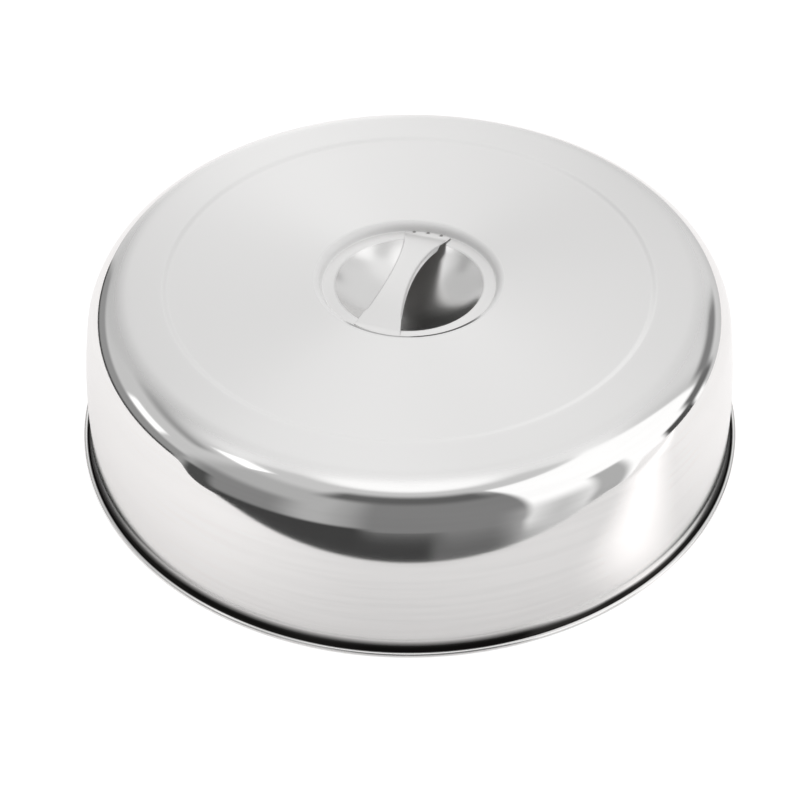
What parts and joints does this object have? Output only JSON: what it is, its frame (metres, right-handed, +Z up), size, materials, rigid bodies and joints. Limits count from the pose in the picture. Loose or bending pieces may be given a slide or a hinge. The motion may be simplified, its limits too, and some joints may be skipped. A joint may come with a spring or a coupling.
{
  "type": "buffet food cover",
  "caption": "Round stainless-steel dome cover with a rolled rim, rounded shoulder and a strap handle set across a round hand recess in its top.",
  "frame": {"origin": "centre of the rim's resting plane", "axes": "+Z up along the dome's axis, Y along the strap handle, X across it"},
  "size_m": [0.36, 0.36, 0.0922],
  "materials": {
    "shell_steel": "satin top, mirror-polished shoulder, finely spun wall",
    "strap_steel": "satin",
    "weld_steel": "dull electrode marks"
  },
  "bodies": {
    "root": {"dome_shell": "shell_steel", "handle_strap": "strap_steel", "spot_welds": "weld_steel"}
  },
  "joints": []
}
